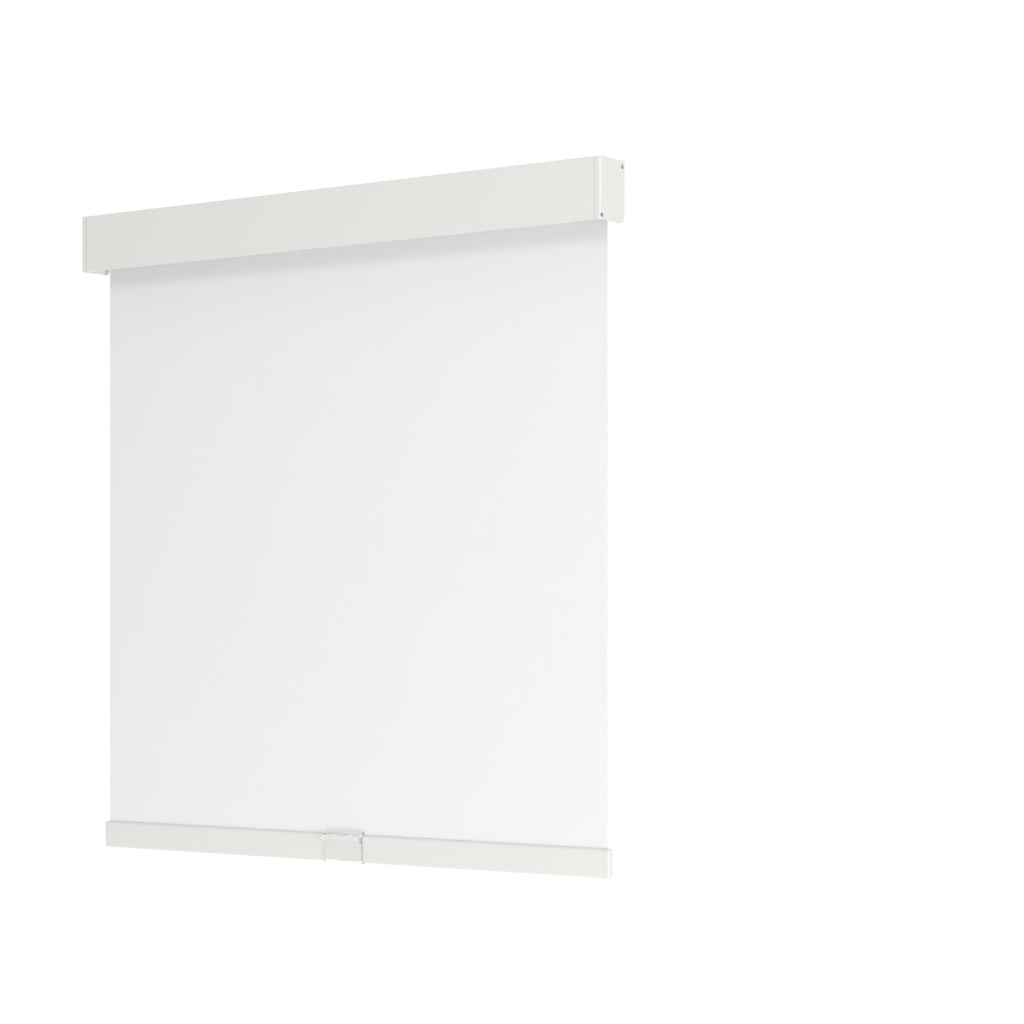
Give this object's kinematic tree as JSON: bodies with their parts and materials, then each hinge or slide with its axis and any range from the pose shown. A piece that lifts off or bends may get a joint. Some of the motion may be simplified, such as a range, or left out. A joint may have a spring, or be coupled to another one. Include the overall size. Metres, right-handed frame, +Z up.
{
  "type": "cordless roller shade",
  "caption": "Cordless roller shade: white square cassette on ceiling or wall brackets, sprung roller, white fabric and a bottom rail with a clear finger pull.",
  "frame": {"origin": "middle of the four ceiling screw holes, on the brackets' top face", "axes": "+X along the shade to its right end as seen from the room, +Y into the wall, +Z up"},
  "size_m": [0.914, 0.056, 0.9161],
  "materials": {
    "white_cover": "satin",
    "white_cap": "satin",
    "white_rail_cap": "satin",
    "white_fabric": "matt plain weave",
    "clear_plastic": "clear, polished",
    "mill_aluminium": "mill",
    "zinc_steel": "zinc plated",
    "screw_steel": "nickel plated",
    "spring_steel": "oiled",
    "grey_plastic": "moulded",
    "black_plastic": "moulded"
  },
  "bodies": {
    "cassette": {"headrail_cover": "white_cover", "left_end_cap": "white_cap", "right_end_cap": "white_cap", "end_cap_screws": "screw_steel", "drive_plate": "zinc_steel", "idle_plate": "zinc_steel", "left_mounting_bracket": "zinc_steel", "right_mounting_bracket": "zinc_steel", "lever_washers": "zinc_steel", "lever_rivets": "zinc_steel", "spring_head": "black_plastic", "spring_shaft": "zinc_steel", "shaft_clip": "spring_steel", "lift_spring": "spring_steel", "hanging_fabric": "white_fabric"},
    "roller": {"roller_tube": "mill_aluminium", "tube_spline": "grey_plastic", "wound_fabric": "white_fabric", "tube_crown": "black_plastic", "drive_carrier": "black_plastic", "idle_plug": "black_plastic", "idle_pin_spring": "spring_steel"},
    "pin": {"idle_pin": "zinc_steel"},
    "rail": {"bottom_rail": "white_cover", "rail_spline": "grey_plastic", "left_rail_cap": "white_rail_cap", "right_rail_cap": "white_rail_cap", "finger_pull": "clear_plastic"},
    "left_lever": {"left_lock_lever": "grey_plastic"},
    "right_lever": {"right_lock_lever": "grey_plastic"}
  },
  "joints": [
    {"name": "rail_lift", "type": "slide", "parent": "cassette", "child": "rail", "axis": [0, 0, 1], "range_m": [0, 0.785], "deforming": ["hanging_fabric"]},
    {"name": "tube_spin", "type": "hinge", "parent": "cassette", "child": "roller", "pos_m": [0, -0.00337, -0.04], "axis": [1, 0, 0], "range_deg": [-1, 2521]},
    {"name": "idle_pin_slide", "type": "slide", "parent": "roller", "child": "pin", "axis": [1, 0, 0], "range_m": [0, 0.0045], "stiffness_N_per_m": 800, "springref_m": -0.004, "deforming": ["idle_pin_spring"]},
    {"name": "left_lever_turn", "type": "hinge", "parent": "cassette", "child": "left_lever", "pos_m": [-0.308, 0.004, 0], "axis": [0, 0, 1], "range_deg": [-50, 0]},
    {"name": "right_lever_turn", "type": "hinge", "parent": "cassette", "child": "right_lever", "pos_m": [0.332, 0.004, 0], "axis": [0, 0, 1], "range_deg": [-50, 0]}
  ],
  "couplings": [
    {"joint": "tube_spin", "follows": "rail_lift", "rad_per_m": 56.03}
  ]
}
